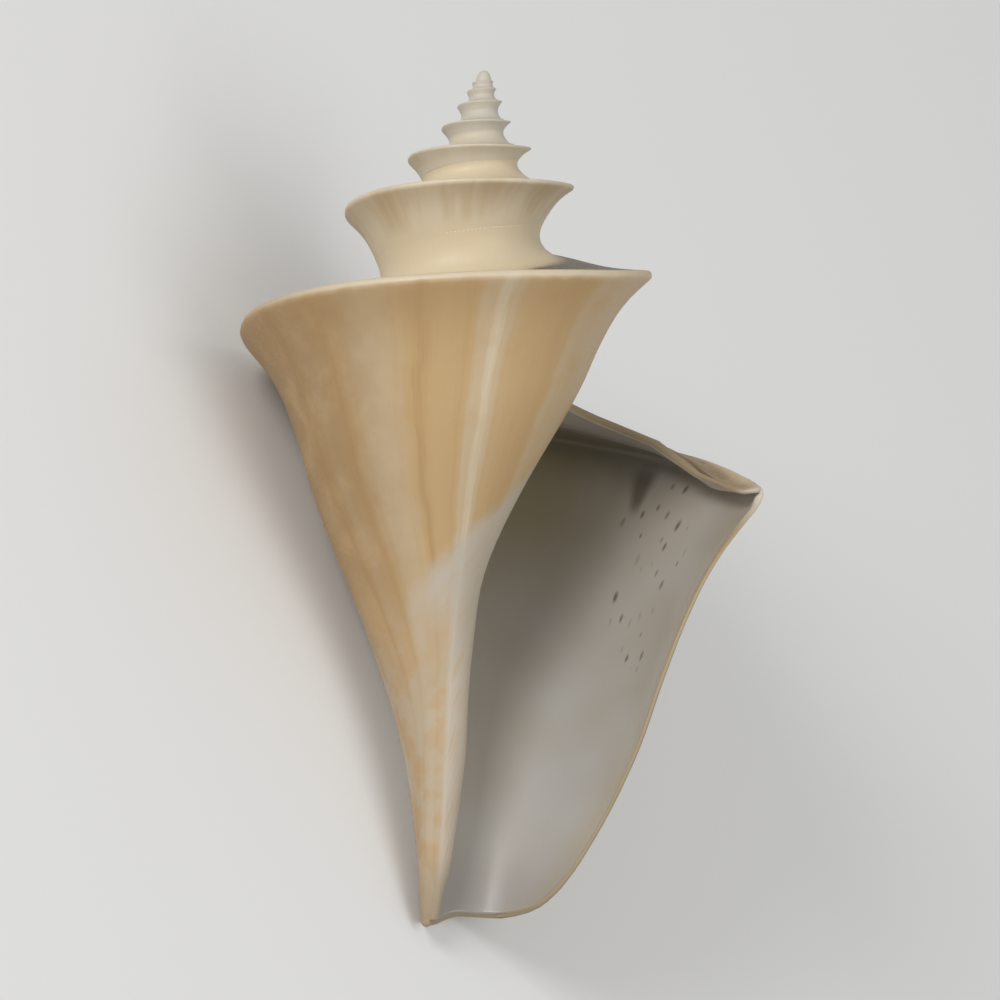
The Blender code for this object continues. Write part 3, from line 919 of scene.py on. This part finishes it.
def specks(n, age, depth):
    """Small dark specks scattered over one patch, each drawn out along the growth lines."""
    cells = n.tree.nodes.new("ShaderNodeTexVoronoi")
    cells.voronoi_dimensions = "2D"
    cells.inputs["Scale"].default_value = 1.0
    along = n.mul(age, -TURN_LENGTH / SPECK_SPACING[0])
    down = n.math("DIVIDE", depth, SPECK_SPACING[1])
    n.put(n.vector(n.add(along, SPECK_SCATTER), down), cells.inputs["Vector"])
    chance = n.parts(cells.outputs["Color"])
    reach = n.math("MULTIPLY_ADD", chance[1], SPECK_REACH[1] - SPECK_REACH[0], SPECK_REACH[0])
    dark = n.step(n.math("DIVIDE", cells.outputs["Distance"], reach), 1.0, 0.25)
    shade = n.step(chance[2], 0.0, 1.0, 0.25, 1.0)
    slant = n.add(age, n.mul(n.math("SUBTRACT", depth, PATCH_DEPTH), -PATCH_SLANT))
    patch = n.mul(n.bump_at(slant, PATCH_AGE, PATCH_SIZE[0]),
                  n.bump_at(depth, PATCH_DEPTH, PATCH_SIZE[1]))
    present = n.step(n.add(chance[0], n.mul(patch, 1.8)), 0.8, 0.9)
    return n.mul(dark, shade, present, n.step(patch, 0.0, 0.12))


def blotch(n, age, depth):
    """The one large dark mark, broad and strong at the top and fading downwards."""
    below = n.math("SUBTRACT", depth, BLOTCH_DEPTH)
    middle = n.math("MULTIPLY_ADD", below, BLOTCH_SLANT, BLOTCH_AGE)
    off = n.math("ABSOLUTE", n.math("SUBTRACT", age, middle))
    width = n.step(depth, BLOTCH_DEPTH - 3.0, BLOTCH_DEPTH + 3.0, *BLOTCH_WIDTHS)
    core = n.step(n.math("DIVIDE", off, width), 1.0, 0.15)
    return n.mul(core, n.step(depth, BLOTCH_DEPTH - 4.0, BLOTCH_DEPTH - 1.0),
                 n.step(depth, BLOTCH_DEPTH + 3.5, BLOTCH_DEPTH + 1.0))


def shell_material():
    n = Nodes("shell_skin")
    age = n.attribute("age")
    across = n.attribute("across")
    inner = n.attribute("inner")
    seam = n.attribute("seam")
    place = n.attribute("place", "Vector")
    inside = n.step(inner, 0.75, 0.95)
    outer = outer_colour(n, age, across, place, seam)
    colour = n.mix(inside, outer, inner_colour(n, age, across, place))
    # the broken lip edge: white with a tan layer
    edge = n.mul(n.step(inner, 0.05, 0.2), n.step(inner, 0.98, 0.85))
    colour = n.mix(n.mul(edge, 0.8), colour, EDGE_TAN)
    at_corner = n.mul(n.bump_at(across, 1.0, 0.16), n.step(age, -0.012, -0.002))
    colour = n.mix(n.mul(at_corner, n.step(inner, 0.0, 0.1, 0.5, 0.9)), colour, EDGE_WHITE)
    n.put(colour, n.surface.inputs["Base Color"])
    grain = n.noise(place, 2.5, 3.0)
    rough = n.mix_value(inside, n.step(grain, 0.3, 0.7, 0.40, 0.55), 0.22)
    n.put(rough, n.surface.inputs["Roughness"])
    growth = n.noise(n.vector(n.mul(age, 360.0), n.mul(across, 4.0), 7.0), 1.0, 3.0, 0.6)
    threads = n.noise(n.vector(n.mul(age, 6.0), n.mul(across, 160.0), 1.0), 1.0, 2.0, 0.5)
    height = n.add(n.mul(growth, n.mix_value(inside, 1.0, 0.15)),
                   n.mul(threads, n.mix_value(inside, 0.25, 0.0)))
    bump = n.tree.nodes.new("ShaderNodeBump")
    bump.inputs["Strength"].default_value = 0.5
    bump.inputs["Distance"].default_value = 0.00005
    n.put(height, bump.inputs["Height"])
    n.put(bump.outputs[0], n.surface.inputs["Normal"])
    return n.material


turn, apex = resting()
shell = make_object(make_skin(), turn, apex)
shell.data.materials.append(shell_material())
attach(shell, "root")
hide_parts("shell")
camera = add_camera(turn, apex)
centre = (cad_bounds[0] + cad_bounds[1]) / 2
add_room(camera, centre)
bpy.context.scene.view_settings.view_transform = "Standard"
